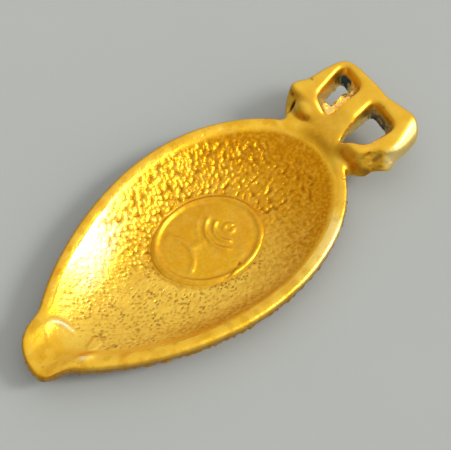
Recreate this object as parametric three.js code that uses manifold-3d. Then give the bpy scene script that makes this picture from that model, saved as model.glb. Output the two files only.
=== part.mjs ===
// A cast brass oil lamp: an almond-shaped dish with a crowned rim and a pinched
// wick spout, an oval medallion let into the floor, and a raised handle of two
// open loops. Millimetres, +Z up. The spout points to -X and the handle to +X.
// The origin is on the table, below the middle of the lamp's length.
import * as THREE from "three";
import { mergeVertices } from "three/addons/utils/BufferGeometryUtils.js";
import Module from "manifold-3d";

const wasm = await Module();
wasm.setup();

// Driving dimensions. Until the last lines, x is measured from the bowl's centre.
const LENGTH = 118; // spout tip to the back of the handle
const SPOUT_REACH = 51.2; // bowl centre to spout tip
const BOWL_HALF_LENGTH = 43.5; // centre to the end of the inner rim edge
const BOWL_SINES = [23, -2.4, -0.8]; // half width of the inner rim edge, as a sine series
const RIM_WIDTH = 3.1;
const RIM_TOP = 8.4;
const RIM_CROWN = 0.7; // how far the middle of the rim stands over its edges
const RIM_UNDER = 4.6; // lower edge of the rim's outer face
const FLOOR_TOP = 2.0;
const FLAT_FLOOR = 0.36; // part of the bowl that is flat floor, measured from its centre
const WALL_POWER = 1.8; // how late the floor turns up into the wall
const PAD = 0.5; // part of the underside that rests on the table
const UNDER_START = 0.95; // where the underside starts, inside the rim's lower edge
const UNDER_STEP = 0.4;

const SPOUT = { x: -43, halfLength: SPOUT_REACH - 43, halfWidth: 8.4 };
const CHANNEL = { depth: 1.5, halfWidth: 6, start: 30 };

const MEDALLION = { x: 4.9, halfLength: 15.1, halfWidth: 12.3, turn: -0.18 };
const MEDALLION_UNDER = 1.5;
const MEDALLION_FIELD = 2.1;
const MEDALLION_RING = 2.6;
const MEDALLION_RING_WIDTH = 1.3;
const FIT_GAP = 0.3;

const HANDLE_END = LENGTH - SPOUT_REACH; // bowl centre to the back of the handle
const BAR_WIDTH = 4.8;
const BAR_HEIGHT = 7.2;
const LOOP_FRONT = { x: 50.6, y: 14, z: 11 };
const LOOP_BACK = { y: 11.8, z: 11.4 };

const AROUND = 96; // steps around the bowl
const brass = { metalness: 1.0, roughness: 0.32 };

function material(color) {
  return new THREE.MeshStandardMaterial({ color, ...brass });
}

function toManifold(geometry) {
  const bare = geometry.clone();
  bare.deleteAttribute("normal");
  bare.deleteAttribute("uv");
  const merged = mergeVertices(bare, 1e-4);
  return new wasm.Manifold(
    new wasm.Mesh({
      numProp: 3,
      vertProperties: new Float32Array(merged.attributes.position.array),
      triVerts: new Uint32Array(merged.index.array),
    }),
  );
}

function toGeometry(solid) {
  const { vertProperties, triVerts } = solid.getMesh();
  const geometry = new THREE.BufferGeometry();
  geometry.setAttribute("position", new THREE.BufferAttribute(vertProperties, 3));
  geometry.setIndex(new THREE.BufferAttribute(triVerts, 1));
  return geometry;
}

// A closed skin through stacked rings of equal length. The first and last ring
// are closed by a fan round their own middle.
function skin(rings) {
  const count = rings[0].length;
  const points = rings.flat();
  const index = [];
  for (let ring = 0; ring + 1 < rings.length; ring += 1) {
    for (let i = 0; i < count; i += 1) {
      const next = (i + 1) % count;
      const a = ring * count + i;
      const b = ring * count + next;
      index.push(a, b, a + count, b, b + count, a + count);
    }
  }
  for (const [ring, flip] of [[0, true], [rings.length - 1, false]]) {
    const middle = new THREE.Vector3();
    rings[ring].forEach((point) => middle.addScaledVector(point, 1 / count));
    const hub = points.push(middle) - 1;
    for (let i = 0; i < count; i += 1) {
      const a = ring * count + i;
      const b = ring * count + ((i + 1) % count);
      index.push(...(flip ? [b, a, hub] : [a, b, hub]));
    }
  }
  const geometry = new THREE.BufferGeometry().setFromPoints(points);
  geometry.setIndex(index);
  return geometry;
}

// Inner edge of the rim, round the bowl: turn 0 is at the spout.
function innerEdge(turn, grow = 0) {
  const [first, second, third] = BOWL_SINES;
  const x = -(BOWL_HALF_LENGTH + grow) * Math.cos(turn);
  const y =
    (first + grow) * Math.sin(turn) + second * Math.sin(2 * turn) + third * Math.sin(3 * turn);
  return new THREE.Vector2(x, y);
}

// How far the spout's oval reaches along a direction from the bowl centre.
function spoutReach(direction) {
  const a = direction.x / SPOUT.halfLength;
  const b = direction.y / SPOUT.halfWidth;
  const c = SPOUT.x / SPOUT.halfLength;
  const square = a * a + b * b;
  const root = a * a * c * c - square * (c * c - 1);
  return root > 0 ? (a * c + Math.sqrt(root)) / square : 0;
}

function naturalEdge(turn) {
  return innerEdge(turn, RIM_WIDTH);
}

// Outer edge of the rim, with the spout's rounded tip.
function outerEdge(turn) {
  const edge = naturalEdge(turn);
  if (edge.x > 0) return edge;
  const direction = edge.clone().normalize();
  return direction.multiplyScalar(Math.max(edge.length(), spoutReach(direction)));
}

function smoothStep(value, from, to) {
  return THREE.MathUtils.smoothstep(value, from, to);
}

// The wick channel: how far the top surface dips between the bowl and the tip.
function channelDip(x, y) {
  const across = Math.max(0, 1 - (y / CHANNEL.halfWidth) ** 2);
  return CHANNEL.depth * across * smoothStep(-x, CHANNEL.start, BOWL_HALF_LENGTH);
}

function topHeight(plan, inward, across) {
  const rise = Math.max(0, (inward - FLAT_FLOOR) / (1 - FLAT_FLOOR)) ** WALL_POWER;
  const edge = RIM_TOP - RIM_CROWN;
  const crown = RIM_CROWN * Math.sin(Math.PI * Math.min(across, 1));
  const height = FLOOR_TOP + (edge - FLOOR_TOP) * rise + crown;
  return Math.max(FLOOR_TOP, height - channelDip(plan.x, plan.y) * rise);
}

function topRing(inward, across) {
  const ring = [];
  for (let i = 0; i < AROUND; i += 1) {
    const turn = (i / AROUND) * 2 * Math.PI;
    const inner = innerEdge(turn).multiplyScalar(inward);
    const plan = inner.lerp(outerEdge(turn), across);
    ring.push(new THREE.Vector3(plan.x, plan.y, topHeight(plan, inward, across)));
  }
  return ring;
}

function underRing(edge, scale, z) {
  const ring = [];
  for (let i = 0; i < AROUND; i += 1) {
    const plan = edge((i / AROUND) * 2 * Math.PI).multiplyScalar(scale);
    ring.push(new THREE.Vector3(plan.x, plan.y, z));
  }
  return ring;
}

function ovalDisc(halfLength, halfWidth, bottom, top) {
  const geometry = new THREE.CylinderGeometry(1, 1, top - bottom, 64);
  geometry.rotateX(Math.PI / 2);
  geometry.scale(halfLength, halfWidth, 1);
  geometry.rotateZ(MEDALLION.turn);
  geometry.translate(MEDALLION.x, 0, (top + bottom) / 2);
  return geometry;
}

function makeBowl() {
  const rings = [];
  for (const inward of [0.2, 0.36, 0.48, 0.58, 0.68, 0.78, 0.88, 1]) {
    rings.push(topRing(inward, 0));
  }
  for (const across of [0.25, 0.5, 0.75, 1]) {
    rings.push(topRing(1, across));
  }
  rings.push(underRing(outerEdge, 1, RIM_UNDER));
  for (const step of [1, 0.8, 0.6, 0.4, 0.2, 0]) {
    const scale = PAD + (UNDER_START - PAD) * step;
    rings.push(underRing(naturalEdge, scale, (RIM_UNDER - UNDER_STEP) * step ** 1.7));
  }
  const recess = ovalDisc(
    MEDALLION.halfLength + FIT_GAP,
    MEDALLION.halfWidth + FIT_GAP,
    MEDALLION_UNDER - FIT_GAP,
    RIM_TOP,
  );
  return toGeometry(toManifold(skin(rings)).subtract(toManifold(recess)));
}

// The medallion: a plain field inside a low raised ring.
function makeMedallion() {
  const { halfLength, halfWidth } = MEDALLION;
  const body = toManifold(ovalDisc(halfLength, halfWidth, MEDALLION_UNDER, MEDALLION_RING));
  const field = toManifold(
    ovalDisc(
      halfLength - MEDALLION_RING_WIDTH,
      halfWidth - MEDALLION_RING_WIDTH,
      MEDALLION_FIELD,
      RIM_TOP,
    ),
  );
  return toGeometry(body.subtract(field));
}

// A bar with a rounded upright section, through stations of {x, y, z, width, height}.
// Its corners are mitred.
function sweepBar(stations) {
  const rings = stations.map((station, i) => {
    const before = stations[Math.max(i - 1, 0)];
    const after = stations[Math.min(i + 1, stations.length - 1)];
    const into = new THREE.Vector2(station.x - before.x, station.y - before.y).normalize();
    const out = new THREE.Vector2(after.x - station.x, after.y - station.y).normalize();
    const along = into.clone().add(out).normalize();
    const mitre = Math.max(along.dot(out), along.dot(into));
    const side = new THREE.Vector3(-along.y, along.x, 0);
    return barSection(station, side, station.width / mitre);
  });
  return skin(rings);
}

function barSection(station, side, width) {
  const sides = 12;
  const square = 0.55; // below 1 the round section fills out towards a rectangle
  const ring = [];
  for (let i = 0; i < sides; i += 1) {
    const angle = ((i + 0.5) / sides) * 2 * Math.PI;
    const across = Math.sign(Math.cos(angle)) * Math.abs(Math.cos(angle)) ** square;
    const up = Math.sign(Math.sin(angle)) * Math.abs(Math.sin(angle)) ** square;
    const point = new THREE.Vector3(station.x, station.y, station.z);
    point.addScaledVector(side, (across * width) / 2);
    point.z += (up * station.height) / 2;
    ring.push(point);
  }
  return ring;
}

// One open loop of the handle: a front wall that stands on the rim, the outer bar
// from the front corner to the back corner, and half of the back bar.
function loopStations(sign) {
  const bar = { width: BAR_WIDTH, height: BAR_HEIGHT };
  return [
    { x: 46.8, y: 0, z: 9.4, width: 4.2, height: 8 },
    { x: 46.8, y: sign * 8.5, z: 10, width: 4.2, height: 8.4 },
    { ...LOOP_FRONT, y: sign * LOOP_FRONT.y, ...bar },
    { x: 56, y: sign * 14, z: 11.2, ...bar },
    { x: HANDLE_END - 2.8, y: sign * LOOP_BACK.y, z: LOOP_BACK.z, ...bar },
    { x: HANDLE_END - 4, y: -sign, z: LOOP_BACK.z, ...bar },
  ];
}

function stemStations() {
  return [
    { x: 43, y: 0, z: 6.6, width: 22, height: 4 },
    { x: 46.5, y: 0, z: 8.6, width: 19, height: 6.6 },
    { x: 50, y: 0, z: 10.6, width: 10, height: BAR_HEIGHT },
    { x: 55, y: 0, z: 11.2, width: 5.4, height: BAR_HEIGHT },
    { x: HANDLE_END - 3.4, y: 0, z: LOOP_BACK.z, width: 7, height: BAR_HEIGHT },
  ];
}

// The space that the bowl and a hair of clearance take, from far below to far above.
function bowlPrism() {
  const outline = [];
  for (let i = 0; i < AROUND; i += 1) {
    outline.push(innerEdge((i / AROUND) * 2 * Math.PI, RIM_WIDTH + FIT_GAP));
  }
  const depth = 6 * RIM_TOP;
  const prism = new THREE.ExtrudeGeometry(new THREE.Shape(outline), {
    depth,
    bevelEnabled: false,
  });
  return prism.translate(0, 0, -depth / 2);
}

function makeHandle() {
  const stem = toManifold(sweepBar(stemStations()));
  const left = toManifold(sweepBar(loopStations(1)));
  const right = toManifold(sweepBar(loopStations(-1)));
  return toGeometry(stem.add(left).add(right).subtract(toManifold(bowlPrism())));
}

function namedMesh(name, geometry, color) {
  const mesh = new THREE.Mesh(geometry, material(color));
  mesh.name = name;
  return mesh;
}

const lamp = new THREE.Group();
lamp.add(namedMesh("bowl", makeBowl(), 0xc8962e));
lamp.add(namedMesh("medallion", makeMedallion(), 0xd2a23a));
lamp.add(namedMesh("loop_handle", makeHandle(), 0xc08c2a));
const reach = new THREE.Box3().setFromObject(lamp);
lamp.position.x = -(reach.min.x + reach.max.x) / 2;

export default lamp;
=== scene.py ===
"""A sand-cast brass diya: an almond dish with a spout, an oval medallion and a two-loop handle."""

import functools
import math

import bpy
import numpy as np
from mathutils import Matrix, Vector


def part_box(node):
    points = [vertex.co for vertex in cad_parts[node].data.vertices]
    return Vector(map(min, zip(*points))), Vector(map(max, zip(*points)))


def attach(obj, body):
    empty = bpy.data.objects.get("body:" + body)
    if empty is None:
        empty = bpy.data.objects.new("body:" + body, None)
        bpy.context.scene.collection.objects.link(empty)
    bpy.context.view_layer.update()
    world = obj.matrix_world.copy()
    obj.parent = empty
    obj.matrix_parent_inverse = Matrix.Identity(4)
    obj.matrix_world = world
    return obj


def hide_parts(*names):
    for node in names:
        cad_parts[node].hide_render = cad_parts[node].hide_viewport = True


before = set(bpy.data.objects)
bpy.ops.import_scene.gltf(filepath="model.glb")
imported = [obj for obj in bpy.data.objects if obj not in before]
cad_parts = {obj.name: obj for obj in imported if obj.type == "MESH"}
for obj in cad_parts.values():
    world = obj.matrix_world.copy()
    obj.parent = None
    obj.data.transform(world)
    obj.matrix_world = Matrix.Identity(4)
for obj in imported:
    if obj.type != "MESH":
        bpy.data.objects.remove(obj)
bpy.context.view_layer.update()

# Lengths are millimetres from the bowl's centre on the table, with the handle towards +X.
# to_frame() turns them into metres in the row frame.
MM = 0.001
SPOUT_REACH = 51.2
BOWL_CENTRE_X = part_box("bowl")[0].x / MM + SPOUT_REACH

# The dish and its rim. BOWL_SINES are the sizes of the sines that draw the inner edge.
BOWL_HALF_LENGTH = 43.5
BOWL_SINES = (23.0, -2.4, -0.8)
RIM_WIDTH = 3.1
RIM_INNER_HEIGHT = 7.7
RIM_CROWN = 0.35
RIM_TILT = 0.3
RIM_ROUNDING = 0.9
RIM_UNDER = 4.6
LOWER_ROUNDING = 0.5
FLOOR_TOP = 2.0
FLAT_FLOOR = 0.36
WALL_POWER = 1.8
UNDER_POWER = 1.7
UNDER_EDGE = 0.96
PAD_SHARE = 0.5

# The rings of the bowl's skin: their points, where they lie in the dish and down the rim's face,
# and how many go round its lower edge.
AROUND = 600
DISH_SHARES = (*np.linspace(0.02, 0.22, 5), *np.linspace(0.25, 1, 92))
FACE_SHARES = (0.25, 0.5, 0.75)
LOWER_RINGS = 5
SIDE_RINGS = len(FACE_SHARES) + LOWER_RINGS

# The spout's outline in plan, from the far waist round the tip to the near waist.
SPOUT_OUTLINE = (
    (-35.0, 12.6), (-39.3, 10.0), (-42.6, 9.1), (-46.2, 7.8),
    (-49.2, 5.1), (-50.8, 1.2), (-51.0, -3.0), (-49.4, -5.2),
    (-45.2, -6.6), (-42.0, -8.7), (-37.5, -11.6),
)
SPOUT_BLEND = 1.6
CHANNEL_DEPTH = 1.2
CHANNEL_HALF_WIDTH = 6.0
CHANNEL_START = 30.0

MEDALLION_CENTRE = (4.9, 0.0)
MEDALLION_HALF = (15.1, 12.3)
MEDALLION_TURN = -0.18
MEDALLION_COSINE = math.cos(MEDALLION_TURN)
MEDALLION_SINE = math.sin(MEDALLION_TURN)
MEDALLION_FIELD = 2.15
MEDALLION_BOTTOM = 1.5
MEDALLION_HOLLOW = 0.6
MEDALLION_RING = 0.48
RING_WIDTH = 1.3
MEDALLION_AROUND = 260
MEDALLION_SHARES = (*np.linspace(0.02, 0.85, 50), *np.linspace(0.86, 1.05, 18))
# The motif: where its nested arcs and its arch are centred along the medallion, and its relief.
ARCS_CENTRE = 6.2
ARCH_CENTRE = -12.2
EMBLEM_RELIEF = 1.7

# The handle's outline in plan, a smooth closed curve.
HANDLE_OUTLINE = (
    (44.6, 0.0), (43.6, 6.0), (42.0, 9.8), (43.4, 12.2),
    (46.6, 15.3), (49.8, 16.6), (54.0, 14.9), (59.0, 14.4),
    (63.5, 13.4), (66.0, 11.2), (66.5, 7.0), (65.9, 1.0),
    (65.2, -4.0), (65.8, -9.0), (65.9, -13.0), (64.0, -16.2),
    (59.0, -17.4), (54.6, -17.2), (52.0, -15.8), (50.2, -13.4),
    (47.2, -11.8), (44.6, -10.2), (41.8, -9.8), (43.4, -6.5),
)
# Corners of the two openings in plan, and the radius that rounds them.
LEFT_OPENING = ((49.8, 3.2), (51.2, 9.2), (64.0, 11.2), (62.2, 3.0))
RIGHT_OPENING = ((46.6, -3.8), (61.8, -2.4), (59.8, -11.8), (49.8, -10.6))
OPENING_CORNER = 2.6
# How far the walls lean per millimetre of depth: both openings, the outside and the near front.
OPENING_DRAFT = (0.28, 0.17)
OUTER_DRAFT = 0.08
FRONT_DRAFT = 0.50
HANDLE_ROUNDING = 1.5

# The handle's top: its nearly level part, whose height holds at LEVEL_AT, and where its stem and
# each lobe climb from their roots.
HANDLE_LEVEL = 13.8
LEVEL_AT = 47
HANDLE_SLOPE = 0.06
ROOT_TOP = 8.6
STEM_CLIMB = (43.0, 53.5)
LEFT_ROOT_TOP = 8.5
LEFT_CLIMB = (45.4, 49.0)
RIGHT_CLIMB = (43.4, 46.8)
HANDLE_BOTTOM = 4.8
HANDLE_LIFT = 2.6

# Ellipsoids that add to the handle or cut it, each with its middle and its half sizes.
BACK_FLASH = ((58.6, 4.2, 8.8), (5.0, 2.6, 1.7))
FRONT_FLASH = ((52.4, 6.4, 8.2), (2.6, 3.4, 1.5))
BULGE = ((48.2, 9.0, 9.6), (3.3, 3.8, 3.6))
SLIT = ((46.0, 12.6, 9.8), (1.5, 0.4, 1.6))
NOTCH = ((53.8, 14.8, 14.0), (0.4, 1.5, 0.6))
# The plane that cuts the near corner: the direction it faces, and its distance from the bowl's centre.
FACET_FACES = (0.18, -0.68, 0.71)
FACET_REACH = 31.2

# How the handle joins the rim: its fillet, how far the fillet's edge sinks, how deep the skin laps
# into the rim, and the slope of the dish's wall beside it.
ROOT_FILLET = 2.4
ROOT_SINK = 0.05
ROOT_LAP = 0.6
WALL_SLOPE = 0.37
# The box in which the handle's skin is found, and the step of its grid.
HANDLE_LOW = (38.0, -20.0, 3.6)
HANDLE_HIGH = (68.4, 18.4, 16.2)
HANDLE_STEP = 0.26

# What each point of a casting carries for brass() to show: dark pits and the painted shade in the
# handle's slit, dull brown metal and painted shade, pale rubbed metal and painted highlights, grain
# left from casting, and grime in cavities.
MARKS = ("pit", "tarnish_and_shade", "worn_and_highlight", "cast", "grime")

# The floor's side in metres, and the hair's breadth that keeps it clear of the bowl's pad.
FLOOR_SIZE = 6
FLOOR_GAP = 0.1

# Angles are radians, the distance and the target are metres, and the lens and sensor millimetres.
CAMERA_AZIMUTH = math.radians(-44.83)
CAMERA_ELEVATION = math.radians(60.05)
CAMERA_ROLL = math.radians(-3.24)
CAMERA_DISTANCE = 0.2582
CAMERA_TARGET = Vector((0.001165, -0.00209, 0.0077))
CAMERA_LENS = 81.8
CAMERA_SENSOR = 36.0


# ---- numbers and noise


def smoothstep(value, low, high):
    """0 below low, 1 above high, and a smooth rise between them."""
    share = np.clip((value - low) / (high - low), 0, 1)
    return share * share * (3 - 2 * share)


def fade(value, low, high):
    """1 below low, 0 above high, and a smooth fall between them."""
    return 1 - smoothstep(value, low, high)


def smooth_min(first, second, reach):
    """The lower of two fields, with a fillet where they are within reach of each other."""
    overlap = np.maximum(reach - np.abs(first - second), 0) / reach
    return np.minimum(first, second) - reach * overlap * overlap / 4


def smooth_max(first, second, reach):
    """The higher of two fields, with the same fillet."""
    return -smooth_min(-first, -second, reach)


def rounded_edge(first, second, radius):
    """A field that is below 0 where both fields are, with a round edge where they meet."""
    first, second = first + radius, second + radius
    corner = np.hypot(np.maximum(first, 0), np.maximum(second, 0))
    return np.minimum(np.maximum(first, second), 0) + corner - radius


def highest(*fields):
    """The highest of several fields at each point."""
    return functools.reduce(np.maximum, fields)


def hashed(cells, seed):
    """A repeatable number from 0 to 1 for each whole-number cell."""
    mixed = np.full(len(cells), seed * 2654435761)
    for column, prime in zip(cells.T.astype(np.int64), (73856093, 19349663, 83492791)):
        mixed = mixed ^ (column * prime)
    mixed = ((mixed ^ (mixed >> 13)) * 1274126177) & 0xFFFFFFFF
    mixed = ((mixed ^ (mixed >> 16)) * 668265263) & 0xFFFFFFFF
    return ((mixed ^ (mixed >> 15)) & 0xFFFFFF) / 0xFFFFFF


def noise(points, size, seed):
    """Smooth noise from -1 to 1 whose lumps are about size across, in plan or in space."""
    scaled = points / size
    base = np.floor(scaled)
    share = smoothstep(scaled - base, 0, 1)
    total = np.zeros(len(points))
    for corner in np.ndindex(*(2,) * points.shape[1]):
        weight = np.prod(np.where(corner, share, 1 - share), axis=1)
        total += weight * hashed(base + corner, seed)
    return total * 2 - 1


def pits(points, size, seed, reach, patch, share):
    """Ragged pits from 0 to 1, size apart, reach * size in radius, in patches over about a share."""
    wobble = [noise(points, 0.6, seed + n) for n in range(points.shape[1])]
    ragged = points + 0.22 * np.stack(wobble, axis=1)
    pit = fade(cell_distance(ragged, size, seed), 0.3 * reach, reach)
    depth = 0.55 + 0.45 * noise(points, 1.7 * size, seed + 5)
    patches = smoothstep(noise(points, patch, seed + 7), 0.6 - 1.6 * share, 1.0 - 1.4 * share)
    return pit * depth * patches


def cell_distance(points, size, seed):
    """Distance to the nearest scattered seed point in plan or in space, in units of size."""
    scaled = points / size
    base = np.floor(scaled)
    nearest = np.full(len(points), 9.0)
    for offset in np.ndindex(*(3,) * points.shape[1]):
        cell = base + np.array(offset) - 1
        spot = np.stack([hashed(cell, seed + axis) for axis in range(points.shape[1])], axis=1)
        nearest = np.minimum(nearest, np.linalg.norm(cell + spot - scaled, axis=1))
    return nearest


# ---- curves and meshes


def smooth_curve(points, closed):
    """A Catmull-Rom curve through the points, in 12 steps from each to the next."""
    points = np.array(points, float)
    count = len(points)
    share = (np.arange(12) / 12)[:, None]
    spans = count if closed else count - 1
    parts = []
    for start in range(spans):
        around = [start - 1, start, start + 1, start + 2]
        around = [n % count if closed else min(max(n, 0), count - 1) for n in around]
        a, b, c, d = points[around]
        parts.append(
            0.5 * (2 * b + (c - a) * share + (2 * a - 5 * b + 4 * c - d) * share**2
                   + (3 * b - 3 * c + d - a) * share**3)
        )
    return np.concatenate(parts if closed else parts + [points[-1:]])


def rounded_polygon(corners, radius):
    """A closed outline with straight sides, whose corners are eased by curves of about radius."""
    corners = np.array(corners, float)
    share = np.linspace(0, 1, 6)[:, None]
    parts = []
    for before, corner, after in zip(np.roll(corners, 1, 0), corners, np.roll(corners, -1, 0)):
        start = corner + (before - corner) * radius / np.linalg.norm(before - corner)
        end = corner + (after - corner) * radius / np.linalg.norm(after - corner)
        parts.append(start * (1 - share) ** 2 + 2 * corner * share * (1 - share) + end * share**2)
    return np.concatenate(parts)


def blurred(values, passes):
    """A sampled field, softened by repeated averaging with its neighbours along each axis."""
    for axis in range(3):
        for _ in range(passes):
            padded = np.pad(values, [(int(n == axis),) * 2 for n in range(3)], mode="edge")
            before = np.take(padded, range(values.shape[axis]), axis=axis)
            after = np.take(padded, range(2, values.shape[axis] + 2), axis=axis)
            values = (before + 2 * values + after) / 4
    return values


def polygon_distance(x, y, polygon):
    """Signed distance in plan to a closed outline, below 0 inside it."""
    nearest = np.full(x.shape, 1e9)
    inside = np.zeros(x.shape, bool)
    for (ax, ay), (bx, by) in zip(polygon, np.roll(polygon, -1, axis=0)):
        dx, dy = bx - ax, by - ay
        along = np.clip(((x - ax) * dx + (y - ay) * dy) / (dx * dx + dy * dy), 0, 1)
        nearest = np.minimum(nearest, np.hypot(x - ax - along * dx, y - ay - along * dy))
        spans = (ay > y) != (by > y)
        crossing = ax + (y - ay) * dx / (dy if dy else 1e-12)
        inside ^= spans & (x < crossing)
    return np.where(inside, -nearest, nearest)


def vertex_normals(points, quads):
    """Unit normals of a mesh of quads."""
    corners = points[quads]
    face = np.cross(corners[:, 2] - corners[:, 0], corners[:, 3] - corners[:, 1])
    total = np.zeros_like(points)
    for axis in range(3):
        weight = np.repeat(face[:, axis], 4)
        total[:, axis] = np.bincount(quads.ravel(), weight, minlength=len(points))
    return total / np.maximum(np.linalg.norm(total, axis=1, keepdims=True), 1e-12)


def ring_grid(rows):
    """Points and quads of a skin made of rings, whose ends are left open."""
    count, around = len(rows), len(rows[0])
    points = np.concatenate(rows)
    row, column = np.meshgrid(np.arange(count - 1), np.arange(around), indexing="ij")
    after = (column + 1) % around
    quads = np.stack(
        [row * around + column, row * around + after,
         (row + 1) * around + after, (row + 1) * around + column], axis=-1,
    ).reshape(-1, 4)
    return points, quads


def ring_caps(points, count, around):
    """The two end points of a ring grid and the triangles that join them to its end rings."""
    first = np.arange(around)
    last = first + (count - 1) * around
    middles = np.stack([points[first].mean(axis=0), points[last].mean(axis=0)])
    after = (first + 1) % around
    start = np.stack([np.full(around, len(points)), after, first], axis=1)
    end = np.stack([np.full(around, len(points) + 1), last, last[after]], axis=1)
    return middles, np.concatenate([start, end])


def to_frame(points):
    """Millimetres from the bowl's centre to metres in the row frame."""
    return (points + np.array([BOWL_CENTRE_X, 0, 0])) * MM


def mesh_piece(name, points, face_groups, marks, material):
    """A smooth mesh object with a float attribute for each entry of marks."""
    mesh = bpy.data.meshes.new(name)
    loops = np.concatenate([faces.ravel() for faces in face_groups])
    sizes = np.concatenate([np.full(len(faces), faces.shape[1]) for faces in face_groups])
    starts = np.concatenate([[0], np.cumsum(sizes)[:-1]])
    mesh.vertices.add(len(points))
    mesh.vertices.foreach_set("co", to_frame(points).astype(np.float32).ravel())
    mesh.loops.add(len(loops))
    mesh.loops.foreach_set("vertex_index", loops.astype(np.int32))
    mesh.polygons.add(len(sizes))
    mesh.polygons.foreach_set("loop_start", starts.astype(np.int32))
    mesh.update(calc_edges=True)
    mesh.shade_smooth()
    for mark, values in marks.items():
        attribute = mesh.attributes.new(mark, "FLOAT", "POINT")
        attribute.data.foreach_set("value", np.asarray(values, np.float32))
    mesh.materials.append(material)
    piece = bpy.data.objects.new(name, mesh)
    bpy.context.scene.collection.objects.link(piece)
    return piece


def surface_net(values, low, step):
    """Points and quads of the surface where a sampled field passes through 0."""
    values = np.pad(values, 1, constant_values=1.0)
    low = low - step
    inside = values < 0
    shape = tuple(n - 1 for n in values.shape)

    def at_corner(array, corner):
        return array[tuple(slice(c, c + n) for c, n in zip(corner, shape))]

    count = sum(at_corner(inside, c).astype(int) for c in np.ndindex(2, 2, 2))
    mixed = (count > 0) & (count < 8)
    total = np.zeros((mixed.sum(), 3))
    crossings = np.zeros(mixed.sum())
    for corner in np.ndindex(2, 2, 2):
        for axis in range(3):
            if corner[axis]:
                continue
            other = tuple(c + (n == axis) for n, c in enumerate(corner))
            here = at_corner(values, corner)[mixed]
            there = at_corner(values, other)[mixed]
            crossed = (here < 0) != (there < 0)
            share = np.where(crossed, here / np.where(crossed, here - there, 1), 0)
            point = np.array(corner) + share[:, None] * np.eye(3)[axis]
            total += crossed[:, None] * point
            crossings += crossed
    points = low + step * (np.argwhere(mixed) + total / crossings[:, None])
    number = np.full(shape, -1)
    number[mixed] = np.arange(mixed.sum())
    return points, net_quads(inside, number)


def net_quads(inside, number):
    """The quads that join the cells round each grid edge which the surface crosses."""
    quads = []
    for axis in range(3):
        side, other = np.roll(np.eye(3, dtype=int), -axis, axis=0)[1:]
        start = np.take(inside, range(inside.shape[axis] - 1), axis=axis)
        end = np.take(inside, range(1, inside.shape[axis]), axis=axis)
        for outward in (True, False):
            edges = np.argwhere((start != end) & (start == outward))
            ring = [number[tuple((edges - offset).T)]
                    for offset in (side + other, other, 0 * side, side)]
            if not outward:
                ring.reverse()
            quads.append(np.stack(ring, axis=1))
    return np.concatenate(quads)


# ---- bowl


def almond(turn, margin):
    """The almond outline in plan, wider by a margin. turn is 0 at the spout and pi at the handle."""
    x = -(BOWL_HALF_LENGTH + margin) * np.cos(turn)
    sizes = (BOWL_SINES[0] + margin, *BOWL_SINES[1:])
    y = sum(size * np.sin((n + 1) * turn) for n, size in enumerate(sizes))
    return np.stack([x, y], axis=1)


def inner_edge(turn):
    """Inner edge of the rim in plan."""
    return almond(turn, 0)


def natural_edge(turn):
    """Outer edge of the rim in plan, as if there were no spout."""
    return almond(turn, RIM_WIDTH)


def outer_edge(turn):
    """Outer edge of the rim in plan, pushed out to the spout's outline."""
    natural = natural_edge(turn)
    length = np.linalg.norm(natural, axis=1)
    direction = np.arctan2(natural[:, 1], -natural[:, 0])
    outline = smooth_curve(SPOUT_OUTLINE, closed=False)
    angles = np.arctan2(outline[:, 1], -outline[:, 0])[::-1]
    reaches = np.linalg.norm(outline, axis=1)[::-1]
    reach = np.interp(direction, angles, reaches, left=0, right=0)
    pushed = smooth_max(length, reach, SPOUT_BLEND)
    return natural * (pushed / length)[:, None]


def even_turns():
    """The turns of a ring's points, evenly spaced along the inner edge."""
    turn = np.linspace(0, 2 * math.pi, 4001)
    edge = inner_edge(turn)
    travelled = np.concatenate([[0], np.cumsum(np.linalg.norm(np.diff(edge, axis=0), axis=1))])
    return np.interp(np.linspace(0, travelled[-1], AROUND, endpoint=False), travelled, turn)


def channel_dip(plan):
    """How far the spout's channel lies below the level rim."""
    across = np.maximum(0, 1 - (plan[:, 1] / CHANNEL_HALF_WIDTH) ** 2)
    return CHANNEL_DEPTH * across * smoothstep(-plan[:, 0], CHANNEL_START, SPOUT_REACH)


def ridge(plan, points, heights, width):
    """A rounded ridge along a line of points in plan, with its height at each of them."""
    height = np.zeros(len(plan))
    for n in range(len(points) - 1):
        start, end = np.array(points[n]), np.array(points[n + 1])
        line = end - start
        along = np.clip((plan - start) @ line / (line @ line), 0, 1)
        distance = np.linalg.norm(plan - start - along[:, None] * line, axis=1)
        crest = heights[n] + (heights[n + 1] - heights[n]) * along
        height = np.maximum(height, crest * np.exp(-((distance / width) ** 2)))
    return height


def throat_sill(plan):
    """The low sill that curls round the head of the spout's basin, along which a highlight is also
    painted.
    """
    line = ((-41.0, 5.6), (-39.8, 5.5), (-38.7, 4.7), (-37.9, 3.3), (-37.4, 1.4), (-37.3, -0.8))
    return ridge(plan, line, (0.1, 0.45, 0.65, 0.7, 0.45, 0.0), 0.75)


def throat_relief(plan):
    """The sill, the curled near end of the rim, the lump and the basin at the spout's throat."""
    curl = ridge(plan, ((-36.4, -8.0), (-38.6, -7.4), (-40.2, -6.9)), (0.2, 0.8, 0.6), 1.1)
    lump = np.minimum(ridge(plan, ((-34.6, -4.9), (-36.4, -5.4)), (0.9, 0.8), 1.35), 0.5)
    basin = ridge(plan, ((-44.6, 2.4), (-45.2, -0.8)), (0.35, 0.35), 3.2)
    return throat_sill(plan) + np.maximum(curl, lump) - basin


def medallion_place(plan):
    """Plan points in the medallion's own axes, and how far out they lie as a share of its edge."""
    away = plan - np.array(MEDALLION_CENTRE)
    along = away[:, 0] * MEDALLION_COSINE + away[:, 1] * MEDALLION_SINE
    across = away[:, 1] * MEDALLION_COSINE - away[:, 0] * MEDALLION_SINE
    share = np.hypot(along / MEDALLION_HALF[0], across / MEDALLION_HALF[1])
    return along, across, share


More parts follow.
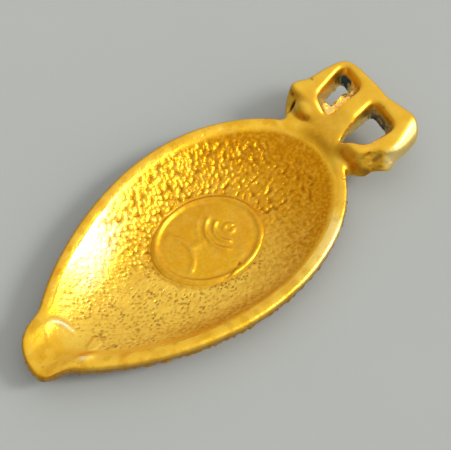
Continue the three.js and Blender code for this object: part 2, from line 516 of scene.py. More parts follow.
def dish_height(plan, reach):
    """Height of the dish. reach is 0 in its middle and 1 at the rim."""
    rise = np.maximum(0, (reach - FLAT_FLOOR) / (1 - FLAT_FLOOR)) ** WALL_POWER
    height = FLOOR_TOP + (RIM_INNER_HEIGHT - FLOOR_TOP) * rise
    height = np.maximum(FLOOR_TOP, height - channel_dip(plan) * rise)
    hollow = fade(medallion_place(plan)[2], 0.90, 1.0)
    relief = throat_relief(plan) * smoothstep(reach, 0.6, 0.8)
    return height + relief - MEDALLION_HOLLOW * hollow


def rim_drop(inset):
    """How far the rim's rounded shoulder falls at an inset from its outer edge."""
    left = np.clip(RIM_ROUNDING - inset, 0, RIM_ROUNDING)
    return RIM_ROUNDING - np.sqrt(RIM_ROUNDING**2 - left**2)


def rim_crown(across):
    """Height of the rim's crown over its inner edge (0 across), rising towards its outer edge (1)."""
    return RIM_CROWN * np.sin(math.pi * across) + RIM_TILT * across


def rim_height(plan, across, inset):
    """Height of the rim's top."""
    raised = rim_crown(across) + throat_relief(plan) - channel_dip(plan)
    return RIM_INNER_HEIGHT + raised - rim_drop(inset)


def dish_rings(turn):
    """Rings from the middle of the floor to the rim's inner edge."""
    edge = inner_edge(turn)
    return [np.column_stack([edge * share, dish_height(edge * share, share)]) for share in DISH_SHARES]


def rim_rings(turn):
    """Rings over the rim, down its outer face and round its lower edge."""
    inner, outer = inner_edge(turn), outer_edge(turn)
    width = np.linalg.norm(outer - inner, axis=1)
    rounding = RIM_ROUNDING / width
    shares = [(1 - rounding) * share for share in np.linspace(0, 1, 15)[1:]]
    shares += [1 - rounding * (1 - math.sin(angle)) for angle in np.linspace(0, math.pi / 2, 8)[1:]]
    rings = []
    for across in shares:
        plan = inner + (outer - inner) * across[:, None]
        rings.append(np.column_stack([plan, rim_height(plan, across, width * (1 - across))]))
    top = rings[-1][:, 2]
    for share in FACE_SHARES:
        height = top + (RIM_UNDER + LOWER_ROUNDING - top) * share
        rings.append(np.column_stack([outer, height]))
    for angle in np.linspace(0, math.pi / 2, LOWER_RINGS):
        scale = 1 - LOWER_ROUNDING * (1 - math.cos(angle)) / np.linalg.norm(outer, axis=1)
        height = np.full(len(outer), RIM_UNDER + LOWER_ROUNDING * (1 - math.sin(angle)))
        rings.append(np.column_stack([outer * scale[:, None], height]))
    return rings


def underside_rings(turn):
    """Rings from the rim's lower edge in to the flat pad that the dish stands on."""
    natural, outer = natural_edge(turn), outer_edge(turn)
    lengths = np.linalg.norm(natural, axis=1)
    start = (np.linalg.norm(outer, axis=1) - LOWER_ROUNDING) / lengths
    rings = []
    for share in np.linspace(0, 1, 34)[1:]:
        scale = start + (PAD_SHARE - start) * share
        rise = np.clip((scale - PAD_SHARE) / (UNDER_EDGE - PAD_SHARE), 0, 1)
        height = RIM_UNDER * rise**UNDER_POWER
        rings.append(np.column_stack([natural * scale[:, None], height]))
    for scale in (0.4, 0.25, 0.1, 0.02):
        rings.append(np.column_stack([natural * scale, np.zeros(len(natural))]))
    return rings


def dish_zones(plan, reach):
    """The shares of textured metal, of the spout's smooth throat and of the painted highlight on the far
    wall.
    """
    x, y = plan.T
    outside = smoothstep(medallion_place(plan)[2], 1.0, 1.06)
    smooth_band = 0.97 - 0.07 * smoothstep(x, 12, 34) + 0.03 * smoothstep(y, 5, 12)
    textured = outside * fade(reach, smooth_band - 0.06, smooth_band)
    throat = smoothstep(-x, 33, 38)
    # Painted highlight: the far wall is painted pale where it faces the window.
    far_wall_highlight = 0.8 * np.exp(-(((x + 20) / 10) ** 2))
    far_wall_highlight *= smoothstep(reach, 0.55, 0.85) * smoothstep(y, 2, 8)
    return textured, throat, far_wall_highlight


def dish_beads(plan, textured, throat, far_wall_highlight):
    """How strongly the dish is beaded, and the distance to the middle of the nearest bead."""
    x, y = plan.T
    beaded = smoothstep(y + 0.25 * x + 0.35 * np.minimum(x, 0), -10, 3)
    beaded *= smoothstep(x, -20, -10) * (1 - 0.3 * far_wall_highlight)
    bent = plan * np.array([1, 0.88]) + 0.25 * noise(plan, 2.0, 5)[:, None]
    gap = cell_distance(bent, 1.12, 11)
    return textured * (1 - 0.85 * throat) * (0.15 + 0.85 * beaded), gap


def dish_pits(plan, textured, throat, beaded, gap):
    """Small pits on the near side, gaps between the beads, and a crescent of pits by the lump."""
    x, y = plan.T
    pitted = (1 - 0.85 * smoothstep(y + 0.5 * x, -7, 6)) * (1 - 0.8 * smoothstep(x, 8, 18))
    pitted *= (1 - 0.6 * fade(y, -19, -12)) * (1 - 0.5 * throat)
    small = pits(plan, 1.05, 31, 0.44, 4.0, 0.95) * textured * pitted
    gaps = 0.5 * beaded * smoothstep(gap, 0.6, 0.85)
    crescent = ridge(plan, ((-33.4, -4.4), (-33.6, -6.0), (-34.9, -7.0)), (0.3, 0.6, 0.4), 0.4)
    return highest(small, gaps, crescent)


def dish_dullness_and_shade(plan, reach, beaded, gap):
    """How dark the dish is painted: painted shade on its back and near walls and in a ring round the
    medallion, and darker between beads.
    """
    x, y = plan.T
    # Painted shade on the back wall by the handle, on the near wall inside the rim, and in a ring round
    # the medallion.
    back_wall_shade = smoothstep(x, -10, 30) * fade(reach, 0.95, 1.0)
    back_wall_shade *= 0.65 + 0.35 * smoothstep(reach, 0.55, 0.85)
    near_wall_shade = smoothstep(-y, 4, 12) * smoothstep(reach, 0.74, 0.90) * smoothstep(x, -32, -12)
    near_wall_shade *= 0.65 * fade(reach, 0.96, 1.0)
    between = beaded * smoothstep(gap, 0.45, 0.75)
    medallion_ring_shade = 0.6 * np.exp(-(((medallion_place(plan)[2] - 1.06) / 0.05) ** 2))
    return highest(back_wall_shade, near_wall_shade, between, medallion_ring_shade)


def dish_texture(points, reach):
    """The dish's cast texture, and its marks."""
    plan = points[:, :2]
    x, y = plan.T
    textured, throat, far_wall_highlight = dish_zones(plan, reach)
    beaded, gap = dish_beads(plan, textured, throat, far_wall_highlight)
    pit = dish_pits(plan, textured, throat, beaded, gap)
    fine = noise(plan, 0.8, 21) * textured
    height = 0.34 * beaded * (0.4 - np.minimum(gap / 0.75, 1) ** 2)
    height += (0.06 + 0.03 * smoothstep(x, 5, 20) - 0.04 * throat) * fine
    height += 0.06 * noise(plan, 5.0, 51) - 0.2 * pit
    pale = 0.2 * smoothstep(-y - 0.4 * x, -6, 8) * textured
    marks = {
        "pit": pit,
        "tarnish_and_shade": np.clip(dish_dullness_and_shade(plan, reach, beaded, gap) + 0.2 * fine, 0, 1),
        # Painted highlights on the far wall and along the sill, and paler towards the near side and the
        # spout.
        "worn_and_highlight": highest(far_wall_highlight, pale, 1.3 * throat_sill(plan)),
        "cast": np.maximum(textured * (1 - 0.5 * throat), 0.5),
    }
    return height, marks


def stem_shade(plan):
    """The painted shade where the handle's stem climbs out of the rim."""
    x, y = plan.T
    along = smoothstep(x, 38.5, 41.5) * fade(x, 45, 51)
    return 0.5 * along * fade(np.abs(y), 2, 9)


def rim_dullness_and_shade(plan, row, side):
    """How dark the rim is painted: on its side and its far and spout shoulders, in clouds, and with
    painted shade by the stem.
    """
    x, y = plan.T
    shoulder = smoothstep(row, 11, 17) * np.maximum(smoothstep(y, -2, 5), smoothstep(-x, 40, 44))
    cloudy = 0.3 * smoothstep(noise(plan, 1.8, 68), 0.0, 0.5) * (1 - side)
    return highest(0.8 * side, 0.7 * shoulder, cloudy, stem_shade(plan))


def rim_wear_and_highlight(points, side):
    """How pale the rim is painted: with wear and a painted highlight along its near back, with wear here
    and there, and with painted highlights on the sill and the curl.
    """
    plan = points[:, :2]
    x, y = plan.T
    # Wear along the rim's near back, painted paler still as a highlight.
    rubbed_and_highlight = 0.40 * smoothstep(x, 5, 25) * fade(x, 29, 36) * smoothstep(-y, 5, 15)
    # A painted glint along the rim's curled end; the sill also adds a painted highlight.
    curl = ridge(plan, ((-38.4, -7.6), (-40.6, -6.8)), (0.4, 0.8), 0.8)
    uneven = (0.04 + rubbed_and_highlight + 0.08 * noise(points, 3.0, 66)) * (1 - side)
    return uneven + throat_sill(plan) + curl


def rim_texture(points):
    """The hand-dressed rim's texture and marks, with a darker side below its shoulder."""
    plan = points[:, :2]
    row = np.arange(len(points)) // AROUND
    side = (row > row[-1] - SIDE_RINGS).astype(float)
    spout = smoothstep(-plan[:, 0], 36, 41)
    pit = pits(points, 1.5, 63, 0.30, 6.0, 0.6)
    pit = np.maximum(pit, spout * pits(plan, 0.95, 67, 0.36, 3.5, 0.6))
    height = 0.10 * noise(points, 7.0, 61) + 0.045 * noise(points, 2.2, 62)
    height += 0.03 * noise(points, 0.8, 65)
    marks = {
        "pit": 0.6 * pit,
        "tarnish_and_shade": rim_dullness_and_shade(plan, row, side),
        "worn_and_highlight": rim_wear_and_highlight(points, side),
        "cast": np.maximum(0.5, side),
        "grime": 0.3 * side,
    }
    return height - 0.12 * pit, marks


def under_texture(points):
    """The coarse, hammered underside's texture and marks."""
    lumps = 0.55 - cell_distance(points * np.array([0.7, 1, 1]), 2.1, 71)
    height = 0.34 * lumps + 0.06 * noise(points, 0.8, 72) + 0.10 * noise(points, 6.0, 73)
    pit = pits(points, 2.2, 74, 0.34, 7.0, 0.5)
    full = np.ones(len(points))
    marks = {"pit": 0.7 * pit, "tarnish_and_shade": 0.8 * full, "cast": full, "grime": 0.3 * full}
    return height - 0.15 * pit, marks


def build_bowl(material):
    """The dish, its rim, its spout and its underside, as one closed skin."""
    turn = even_turns()
    dish, rim, under = dish_rings(turn), rim_rings(turn), underside_rings(turn)
    rows = dish + rim + under
    points, quads = ring_grid(rows)
    normals = vertex_normals(points, quads)
    dish_end = len(dish) * AROUND
    rim_end = dish_end + len(rim) * AROUND
    zones = (
        dish_texture(points[:dish_end], np.repeat(DISH_SHARES, AROUND)),
        rim_texture(points[dish_end:rim_end]),
        under_texture(points[rim_end:]),
    )
    points = points + normals * np.concatenate([height for height, _ in zones])[:, None]
    points = roughen_lower_edge(points, dish_end, rim_end)
    points[rim_end:, 2] = np.maximum(points[rim_end:, 2], 0)
    middles, caps = ring_caps(points, len(rows), AROUND)
    points = np.concatenate([points, middles])
    marks = {}
    for name in MARKS:
        values = [found.get(name, np.zeros(len(height))) for height, found in zones]
        marks[name] = np.concatenate([*values, [0, 0]])
    return mesh_piece("bowl_casting", points, [quads, caps], marks, material)


def roughen_lower_edge(points, start, end):
    """Chips and flash along the rim's lower outer edge."""
    rim = points[start:end]
    low = fade(rim[:, 2], RIM_UNDER + 0.2, RIM_UNDER + 1.6)
    low[:-SIDE_RINGS * AROUND] = 0
    chips = (0.5 * noise(rim, 0.7, 81) + 0.2 * noise(rim, 2.5, 82)) * low
    outward = rim[:, :2] / np.linalg.norm(rim[:, :2], axis=1, keepdims=True)
    points = points.copy()
    points[start:end, :2] += outward * chips[:, None]
    points[start:end, 2] += 0.7 * chips
    return points


# ---- medallion


def emblem(along, across):
    """A plain motif, smoothed by wear: nested arcs over a stem that stands on a wide arch."""
    away = np.hypot(along - ARCS_CENTRE, across)
    angle = np.abs(np.arctan2(across, ARCS_CENTRE - along))
    height = np.zeros(len(along))
    arcs = ((8.2, 1.1, 0.10), (6.1, 1.3, 0.26), (3.8, 1.4, 0.26), (1.2, 3.2, 0.2))
    for radius, spread, size in arcs:
        band = np.exp(-(((away - radius) / 0.6) ** 2))
        height = np.maximum(height, size * band * fade(angle, spread - 0.4, spread))
    arch = np.hypot(along - ARCH_CENTRE, across)
    turn = np.abs(np.arctan2(across, along - ARCH_CENTRE))
    legs = np.exp(-(((arch - 6.8) / 0.75) ** 2)) * fade(turn, 0.95, 1.2)
    stem = np.exp(-((across / 1.1) ** 2)) * smoothstep(along, -6.2, -5.0) * smoothstep(-along, 0.4, 1.4)
    return EMBLEM_RELIEF * np.maximum(height, 0.22 * np.maximum(legs, stem))


def medallion_height(along, across, share):
    """Height of the medallion: a low ring, a groove inside it, and a field smoothed by wear."""
    edge = (share - 1) * min(MEDALLION_HALF) + RING_WIDTH * 0.6
    ring = np.exp(-((edge / (RING_WIDTH * 0.52)) ** 2))
    groove = np.exp(-(((edge + RING_WIDTH) / 0.6) ** 2))
    field = MEDALLION_FIELD + MEDALLION_RING * ring - 0.10 * groove
    inside = fade(share, 0.78, 0.86)
    fall = smoothstep(share, 1.0, 1.05)
    return field + emblem(along, across) * inside - 0.35 * fall


def medallion_rings():
    """Rings from the middle of the medallion's field to the middle of its bottom."""
    angle = np.linspace(0, 2 * math.pi, MEDALLION_AROUND, endpoint=False)[::-1]
    rings = []
    for share in MEDALLION_SHARES:
        along = MEDALLION_HALF[0] * share * np.cos(angle)
        across = MEDALLION_HALF[1] * share * np.sin(angle)
        x = MEDALLION_CENTRE[0] + along * MEDALLION_COSINE - across * MEDALLION_SINE
        y = MEDALLION_CENTRE[1] + along * MEDALLION_SINE + across * MEDALLION_COSINE
        rings.append(np.column_stack([x, y, medallion_height(along, across, share)]))
    middle = np.array([*MEDALLION_CENTRE, 0])
    edge = rings[-1]
    for share in (1.0, 0.6, 0.2, 0.02):
        ring = middle + (edge - middle) * share
        ring[:, 2] = MEDALLION_BOTTOM
        rings.append(ring)
    return rings


def build_medallion(material):
    """The oval medallion in the middle of the dish."""
    rows = medallion_rings()
    points, quads = ring_grid(rows)
    plan = points[:, :2]
    top = np.arange(len(points)) < (len(MEDALLION_SHARES) - 2) * MEDALLION_AROUND
    uneven = 0.09 * noise(points, 3.0, 91) + 0.03 * noise(points, 1.0, 92)
    nick = ridge(plan, ((6.1, -10.4), (6.4, -10.2)), (1.0, 1.0), 0.4)
    scratch = ridge(plan, ((4.6, -11.0), (2.0, -11.5), (-0.5, -11.4)), (0.6, 0.9, 0.2), 0.3)
    pit = highest(pits(points, 2.6, 93, 0.16, 7.0, 0.4), nick, scratch)
    points[:, 2] += np.where(top, uneven - 0.15 * pit, 0)
    middles, caps = ring_caps(points, len(rows), MEDALLION_AROUND)
    points = np.concatenate([points, middles])
    full = np.ones(len(points))
    marks = {"pit": np.concatenate([pit * top, [0, 0]]), "tarnish_and_shade": 0.45 * full, "cast": 0.5 * full}
    return mesh_piece("medallion_relief", points, [quads, caps], marks, material)


# ---- handle


def handle_top(x, y):
    """Height of the handle's top: it climbs out of the rim and then stays nearly level."""
    level = HANDLE_LEVEL + HANDLE_SLOPE * (x - LEVEL_AT)
    climbed = np.clip((x - STEM_CLIMB[0]) / (STEM_CLIMB[1] - STEM_CLIMB[0]), 0, 1)
    stem = ROOT_TOP + (level - ROOT_TOP) * climbed
    left = LEFT_ROOT_TOP + (level - LEFT_ROOT_TOP) * smoothstep(x, *LEFT_CLIMB)
    right = ROOT_TOP + (level - ROOT_TOP) * smoothstep(x, *RIGHT_CLIMB)
    lobe = np.where(y > 0, left, right)
    return stem + (lobe - stem) * smoothstep(np.abs(y - 0.3), 3.0, 9.0)


def handle_bottom(x):
    """Height of the handle's underside, which lifts behind its root."""
    return HANDLE_BOTTOM + HANDLE_LIFT * smoothstep(x, 44.0, 51.0)


def rim_field(inner, z):
    """Distance-like field of the rim, from the plan distance to its inner edge."""
    slope = RIM_INNER_HEIGHT + WALL_SLOPE * np.minimum(inner, 0)
    over = z - slope - rim_crown(np.clip(inner / RIM_WIDTH, 0, 1))
    return np.maximum(rounded_edge(over, inner - RIM_WIDTH, RIM_ROUNDING), RIM_UNDER - z)


def opening_distances(x, y):
    """Signed distances in plan to the left and the right opening."""
    outlines = [rounded_polygon(corners, OPENING_CORNER) for corners in (LEFT_OPENING, RIGHT_OPENING)]
    return [polygon_distance(x, y, outline) for outline in outlines]


def opening_walls(points):
    """1 on the walls of the two openings, and 0 elsewhere."""
    left, right = opening_distances(points[:, 0], points[:, 1])
    near = fade(np.minimum(left, right), -0.4, 0.5)
    return near * fade(points[:, 2], 10.8, 12.8)


def bars_field(x, y, z):
    """Field of the handle's bars alone, with rounded edges and openings that narrow downwards."""
    outline = polygon_distance(x[..., 0], y[..., 0], smooth_curve(HANDLE_OUTLINE, closed=True))
    left, right = opening_distances(x[..., 0], y[..., 0])
    top, bottom = handle_top(x, y), handle_bottom(x)
    depth = np.maximum(top - HANDLE_ROUNDING - z, 0)
    left = left[..., None] + OPENING_DRAFT[0] * depth
    right = right[..., None] + OPENING_DRAFT[1] * depth
    front = smoothstep(-y, 8, 12) * fade(x, 51, 56)
    outline = outline[..., None] - (OUTER_DRAFT + FRONT_DRAFT * front) * depth
    plan = smooth_max(outline, -np.minimum(left, right), 1.0)
    upright = np.abs(z - (top + bottom) / 2) - (top - bottom) / 2
    return rounded_edge(plan, upright, HANDLE_ROUNDING)


def blob(x, y, z, middle, half):
    """Distance-like field of an ellipsoid."""
    squares = sum(((at - m) / h) ** 2 for at, m, h in zip((x, y, z), middle, half))
    return (np.sqrt(squares) - 1) * min(half)


def handle_details(bars, x, y, z):
    """The bars with the opening's flash, the left lobe's bulge, slit and notch, and a near facet."""
    for added, fillet in ((BACK_FLASH, 0.8), (FRONT_FLASH, 0.8), (BULGE, 1.8)):
        bars = smooth_min(bars, blob(x, y, z, *added), fillet)
    for cut in (SLIT, NOTCH):
        bars = smooth_max(bars, -blob(x, y, z, *cut), 0.3)
    facing = FACET_FACES[0] * x + FACET_FACES[1] * y + FACET_FACES[2] * z
    return smooth_max(bars, facing - FACET_REACH, 1.0)


def handle_field(x, y, z):
    """Field of the handle where it stands proud of the rim, below 0 inside the metal."""
    edge = inner_edge(np.linspace(0, 2 * math.pi, 240, endpoint=False))
    rim = rim_field(polygon_distance(x, y, edge)[..., None], z)
    x, y = x[..., None], y[..., None]
    bars = handle_details(blurred(bars_field(x, y, z), 7), x, y, z)
    joined = smooth_min(bars, rim, ROOT_FILLET) + ROOT_SINK
    return highest(joined, -rim - ROOT_LAP, bars - ROOT_FILLET)


def handle_skin():
    """Points and quads of the handle's skin before its texture."""
    axes = [np.arange(low, high, HANDLE_STEP) for low, high in zip(HANDLE_LOW, HANDLE_HIGH)]
    x, y = np.meshgrid(axes[0], axes[1], indexing="ij")
    return surface_net(handle_field(x, y, axes[2]), np.array(HANDLE_LOW), HANDLE_STEP)


def as_cast(points, steep, below):
    """1 where the lobes' front and sides are as cast, and 0 where the handle is polished."""
    x, y = points[:, 0], points[:, 1]
    rough = np.maximum(below, smoothstep(steep, 0.35, 0.55)) * fade(x, 50.5, 55)
    return rough * smoothstep(np.minimum(*opening_distances(x, y)), 0.3, 1.5)


def handle_pits(points, cast, lip, below):
    """Pits all over, more of them where it is as cast and on the lip, and two front pockets."""
    plan = points[:, :2]
    pit = pits(points, 2.0, 105, 0.34 + 0.10 * cast, 5.0, 0.35 + 0.75 * cast)
    on_lip = lip * pits(plan, 0.9, 107, 0.4, 3.0, 0.9)
    corner = ridge(plan, ((45.6, -13.0), (47.2, -14.6)), (0.9, 0.9), 0.7)
    front = ridge(plan, ((49.4, -14.2), (51.0, -14.8)), (0.6, 0.8), 0.5)
    return highest(pit, on_lip, below * corner, below * front)


def handle_dullness_and_shade(points, cast, hidden):
    """How dark the handle is painted: stained where as cast, with painted shade at its root, and faintly
    elsewhere.
    """
    x = points[:, 0]
    stain = 0.15 + 0.6 * smoothstep(noise(points, 3.2, 106), -0.3, 0.4)
    faint = 0.1 * np.maximum(hidden, smoothstep(x, 48, 53))
    return highest(stain * cast * smoothstep(x, 43, 45), stem_shade(points[:, :2]), faint)


def handle_wear_and_highlight(points, hidden):
    """How pale the handle is painted: a painted highlight along the near facet, a little wear on its top,
    and paler inside the openings.
    """
    # A painted highlight along the near lobe's facet.
    facet = ridge(points[:, :2], ((52.5, -17.0), (56.5, -17.4), (64.0, -15.0)), (0.7, 0.5, 0.6), 1.6)
    top = 0.04 * smoothstep(points[:, 2], 8.2, 10.5) * (1 - hidden)
    return highest(top, facet, 0.5 * hidden)


def handle_texture(points, normals):
    """The handle's texture, which fades out towards its root, and its marks."""
    x, y, z = points.T
    steep = 1 - np.abs(normals[:, 2])
    hidden = opening_walls(points)
    below = smoothstep(handle_top(x, y) - z, 0.9, 2.0)
    cast = as_cast(points, steep, below)
    lip = ridge(points[:, :2], ((46.8, -4.3), (54.5, -3.4)), (1.0, 0.7), 0.9)
    pit = handle_pits(points, cast, lip, below)
    # Painted shade: the left lobe's slit is darkened through the pit mark.
    slit = 0.9 * fade(blob(x, y, z, *SLIT), 0.05, 0.35)
    away = smoothstep(x, 44.5, 48.0)
    rough = 0.22 * noise(points, 1.1, 103) + 0.10 * noise(points, 0.55, 104)
    height = 0.10 * noise(points, 6.0, 101) + 0.03 * noise(points, 2.0, 102)
    height += rough * highest(hidden, lip, 0.5 * cast)
    back_walls = smoothstep(-normals[:, 0], -0.1, 0.5) * (0.65 + 0.35 * smoothstep(y, -2, 2))
    marks = {
        "pit": np.maximum((0.6 + 0.6 * cast) * pit * away, slit),
        "grime": hidden * back_walls * steep,
        "tarnish_and_shade": handle_dullness_and_shade(points, cast, hidden),
        "worn_and_highlight": handle_wear_and_highlight(points, hidden),
        "cast": np.maximum(cast, hidden),
    }
    return (height - 0.12 * pit) * away, marks


def build_handle(material):
    """The two-loop handle, with a root that flows out of the rim."""
    points, quads = handle_skin()
    normals = vertex_normals(points, quads)
    height, marks = handle_texture(points, normals)
    return mesh_piece("loop_handle_casting", points + normals * height[:, None], [quads], marks, material)


# ---- materials


class Nodes:
    """A short way to add and join the nodes of a material or of the world."""

    def __init__(self, owner, shader):
        owner.use_nodes = True
        self.tree = owner.node_tree
        self.shader = self.tree.nodes[shader]
        self.places = self.add("ShaderNodeTexCoord").outputs

    def add(self, kind, inputs=None, **settings):
        """A new node with its settings made and its inputs joined or set."""
        node = self.tree.nodes.new(kind)
        for name, value in settings.items():
            setattr(node, name, value)
        for name, value in (inputs or {}).items():
            self.put(node.inputs[name], value)
        return node

    def put(self, socket, value):
        """Joins another node's output to a socket, or sets the socket to a value."""
        if isinstance(value, bpy.types.NodeSocket):
            self.tree.links.new(value, socket)
        else:
            socket.default_value = value

    def shade(self, name, value):
        """Joins or sets an input of the shader."""
        self.put(self.shader.inputs[name], value)

    def noise(self, size_mm, detail=3.0, stretch=(1, 1, 1)):
        """Noise from 0 to 1 with features of about size_mm."""
        place = self.add("ShaderNodeMapping", {"Vector": self.places["Object"], "Scale": stretch})
        inputs = {"Vector": place.outputs[0], "Scale": 1 / (size_mm * MM), "Detail": detail}
        return self.add("ShaderNodeTexNoise", inputs).outputs["Fac"]

    def mark(self, name):
        """A float attribute that the mesh carries."""
        return self.add("ShaderNodeAttribute", attribute_name=name).outputs["Fac"]

    def span(self, value, low, high, start=0.0, end=1.0):
        """A value moved from the range low..high to the range start..end, and kept in it."""
        inputs = {"Value": value, "From Min": low, "From Max": high, "To Min": start, "To Max": end}
        return self.add("ShaderNodeMapRange", inputs).outputs[0]

    def math(self, operation, first, second):
        """The result of one operation on two values."""
        node = self.add("ShaderNodeMath", operation=operation)
        self.put(node.inputs[0], first)
        self.put(node.inputs[1], second)
        return node.outputs[0]

    def mix(self, share, first, second):
        """The first colour where share is 0, and the second where it is 1."""
        node = self.add("ShaderNodeMix", data_type="RGBA")
        self.put(node.inputs["Factor"], share)
        self.put(node.inputs["A"], first)
        self.put(node.inputs["B"], second)
        return node.outputs["Result"]

    def bump(self, height, distance_mm, strength, normal=None):
        """A normal that is tilted by a height of distance_mm at most."""
        inputs = {"Height": height, "Distance": distance_mm * MM, "Strength": strength}
        if normal is not None:
            inputs["Normal"] = normal
        return self.add("ShaderNodeBump", inputs).outputs[0]


# Linear colours of the brass, of the crust in its cavities and of the floor. The dull brown also
# paints shade, the soot also paints shade in the handle's slit, and the palest brass also paints
# highlights.
GOLD = (0.84, 0.48, 0.014, 1)
AMBER = (0.74, 0.36, 0.008, 1)
PALE = (0.90, 0.61, 0.085, 1)
RUBBED_AND_HIGHLIGHT = (0.96, 0.80, 0.46, 1)
TARNISH_AND_SHADE = (0.47, 0.180, 0.002, 1)
SOOT_AND_SHADE = (0.17, 0.070, 0.010, 1)
VERDIGRIS = (0.010, 0.040, 0.055, 1)
FLOOR_DARK = (0.33, 0.35, 0.34, 1)
FLOOR_PALE = (0.35, 0.37, 0.36, 1)


def brass_colour(nodes, tarnish_and_shade, crust):
    """Cloudy gold, paler with wear and painted highlights, brown where tarnished and with painted shade,
    sooty in pits and in the handle's painted slit shade, and dark under a crust.
    """
    cloud = nodes.span(nodes.noise(9.0), 0.35, 0.7)
    colour = nodes.mix(cloud, GOLD, AMBER)
    polished = nodes.span(nodes.noise(3.0), 0.45, 0.75, 0.1, 0.5)
    colour = nodes.mix(polished, colour, PALE)
    # Pale with wear, and with painted highlights on the dish's far wall, the sill, the rim's curl and
    # near back, and the handle's near facet.
    worn_and_highlight = nodes.mark("worn_and_highlight")
    colour = nodes.mix(nodes.span(worn_and_highlight, 0.0, 0.3), colour, PALE)
    colour = nodes.mix(nodes.span(worn_and_highlight, 0.25, 1.0), colour, RUBBED_AND_HIGHLIGHT)
    # Brown where tarnished, and with painted shade on the dish's back and near walls, round the medallion
    # and at the handle's root.
    colour = nodes.mix(tarnish_and_shade, colour, TARNISH_AND_SHADE)
    # Sooty in pits, and dark with painted shade in the handle's slit.
    colour = nodes.mix(nodes.span(nodes.mark("pit"), 0.1, 0.7, 0.0, 0.65), colour, SOOT_AND_SHADE)
    speckle = nodes.span(nodes.noise(0.5, 2.0), 0.62, 0.74, 0.0, 0.5)
    colour = nodes.mix(speckle, colour, AMBER)
    return nodes.mix(crust, colour, VERDIGRIS)


def brass_roughness(nodes, roughness, crust):
    """An uneven polish round a mean roughness, duller in pits and under a crust."""
    rough = nodes.span(nodes.noise(4.0, 5.0), 0.3, 0.7, roughness - 0.06, roughness + 0.08)
    rough = nodes.math("ADD", rough, nodes.math("MULTIPLY", nodes.mark("pit"), 0.2))
    return nodes.math("ADD", rough, nodes.math("MULTIPLY", crust, 0.35))


def brass_grain(nodes, grain):
    """The grain left from casting, with fine polishing scratches over it."""
    shown = nodes.span(nodes.mark("cast"), 0.0, 1.0, 0.15, 1.0)
    normal = nodes.bump(nodes.noise(0.45, 4.0), grain, shown)
    scratches = nodes.noise(0.35, 2.0, stretch=(0.12, 1.0, 1.0))
    return nodes.bump(scratches, 0.02, 0.35, normal)


def brass(name, roughness, grain, patina):
    """Polished cast brass, with its grain in millimetres. patina turns its grime into a crust."""
    material = bpy.data.materials.new(name)
    nodes = Nodes(material, "Principled BSDF")
    mottle = nodes.span(nodes.noise(0.9, 4.0), 0.35, 0.6, 0.62, 1.0)
    tarnish_and_shade = nodes.math("MULTIPLY", nodes.mark("tarnish_and_shade"), mottle)
    grime = nodes.span(nodes.mark("grime"), 0.0, 0.6)
    patches = nodes.span(nodes.noise(3.0, 4.0), 0.42, 0.54)
    crust = nodes.math("MULTIPLY", nodes.math("MULTIPLY", grime, patches), patina)
    dull_and_shade = nodes.math("MAXIMUM", tarnish_and_shade, crust)
    nodes.shade("Base Color", brass_colour(nodes, tarnish_and_shade, crust))
    nodes.shade("Metallic", nodes.span(crust, 0.0, 1.0, 1.0, 0.1))
    nodes.shade("Roughness", brass_roughness(nodes, roughness, crust))
    nodes.shade("Normal", brass_grain(nodes, grain))
    nodes.shade("Coat Weight", nodes.span(dull_and_shade, 0.0, 0.8, 0.25, 0.0))
    nodes.shade("Coat Roughness", 0.24)
    return material


def floor_material():
    """Plain pale matt floor."""
    material = bpy.data.materials.new("pale_floor")
    nodes = Nodes(material, "Principled BSDF")
    nodes.shade("Base Color", nodes.mix(nodes.noise(60.0), FLOOR_DARK, FLOOR_PALE))
    nodes.shade("Roughness", 0.9)
    nodes.shade("Specular IOR Level", 0.2)
    return material


# ---- stage


# The light of the windows and of the room, which is brightest in one direction.
WINDOW_COLOUR = (1.0, 0.98, 0.95)
ROOM_BRIGHTEST = (0.60, -0.30, 0.74)
ROOM_DIM = (0.32, 0.27, 0.20, 1)
ROOM_MIDDLE = (0.84, 0.82, 0.80, 1)
ROOM_BRIGHT = (1.0, 0.98, 0.95, 1)
ROOM_STRENGTH = 1.06


def build_floor():
    """A wide flat floor under the lamp."""
    bpy.ops.mesh.primitive_plane_add(size=FLOOR_SIZE, location=(0, 0, -FLOOR_GAP * MM))
    floor = bpy.context.object
    floor.name = "floor"
    floor.data.materials.append(floor_material())


def window(name, direction, width, strength):
    """A far soft light in a direction from the lamp, which looks width radians wide."""
    data = bpy.data.lights.new(name, "SUN")
    data.angle = width
    data.energy = strength
    data.color = WINDOW_COLOUR
    light = bpy.data.objects.new(name, data)
    bpy.context.scene.collection.objects.link(light)
    towards = Vector(direction).normalized()
    light.location = towards
    light.rotation_euler = towards.to_track_quat("Z", "Y").to_euler()


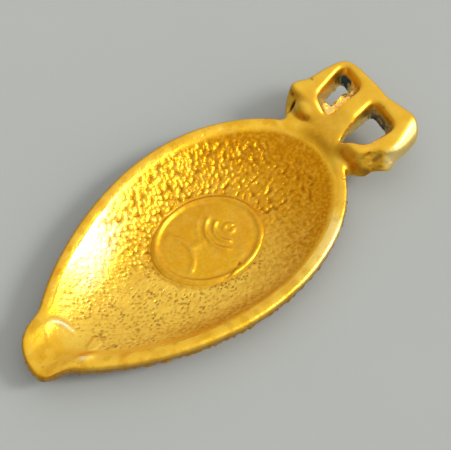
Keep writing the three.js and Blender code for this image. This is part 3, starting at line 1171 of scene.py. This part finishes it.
def build_room():
    """A pale room that is brightest high on the right and darkest low on the left."""
    world = bpy.data.worlds.new("room")
    bpy.context.scene.world = world
    nodes = Nodes(world, "Background")
    inputs = {0: nodes.places["Generated"], 1: Vector(ROOM_BRIGHTEST).normalized()}
    facing = nodes.add("ShaderNodeVectorMath", inputs, operation="DOT_PRODUCT").outputs["Value"]
    ramp = nodes.add("ShaderNodeValToRGB", {0: nodes.span(facing, -1, 1)})
    dim, bright = ramp.color_ramp.elements
    dim.position = 0.2
    dim.color = ROOM_DIM
    bright.color = ROOM_BRIGHT
    middle = ramp.color_ramp.elements.new(0.60)
    middle.color = ROOM_MIDDLE
    nodes.shade("Color", ramp.outputs[0])
    nodes.shade("Strength", ROOM_STRENGTH)


def build_lights():
    """Two windows to the right, in a pale room."""
    window("window", (0.59, -0.56, 0.60), width=0.30, strength=1.75)
    window("low_window", (0.64, -0.70, 0.34), width=0.90, strength=0.85)
    build_room()


def build_camera():
    """The camera looks down on the lamp from the near side of the spout."""
    azimuth, elevation = CAMERA_AZIMUTH, CAMERA_ELEVATION
    back = Vector((
        math.sin(azimuth) * math.cos(elevation),
        -math.cos(azimuth) * math.cos(elevation),
        math.sin(elevation),
    ))
    level = Vector((math.cos(azimuth), math.sin(azimuth), 0))
    upward = back.cross(level)
    right = level * math.cos(CAMERA_ROLL) - upward * math.sin(CAMERA_ROLL)
    up = level * math.sin(CAMERA_ROLL) + upward * math.cos(CAMERA_ROLL)
    data = bpy.data.cameras.new("camera")
    data.lens = CAMERA_LENS
    data.sensor_width = CAMERA_SENSOR
    data.clip_start = 0.01
    camera = bpy.data.objects.new("camera", data)
    bpy.context.scene.collection.objects.link(camera)
    turned = Matrix((right, up, back)).transposed()
    camera.matrix_world = Matrix.Translation(CAMERA_TARGET + back * CAMERA_DISTANCE) @ turned.to_4x4()
    bpy.context.scene.camera = camera


def build_lamp():
    """The three castings, each in place of its CAD node."""
    bowl_brass = brass("bowl_brass", roughness=0.31, grain=0.15, patina=0.3)
    medallion_brass = brass("medallion_brass", roughness=0.36, grain=0.07, patina=0.0)
    handle_brass = brass("handle_brass", roughness=0.32, grain=0.05, patina=1.0)
    parts = (
        (build_bowl, "bowl", "cast_brass", bowl_brass),
        (build_medallion, "medallion", "relief_brass", medallion_brass),
        (build_handle, "loop_handle", "handle_brass", handle_brass),
    )
    for build, node, slot, material in parts:
        piece = build(material)
        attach(piece, "root")
        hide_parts(node)


bpy.context.scene.view_settings.view_transform = "Standard"
build_camera()
build_lights()
build_floor()
build_lamp()
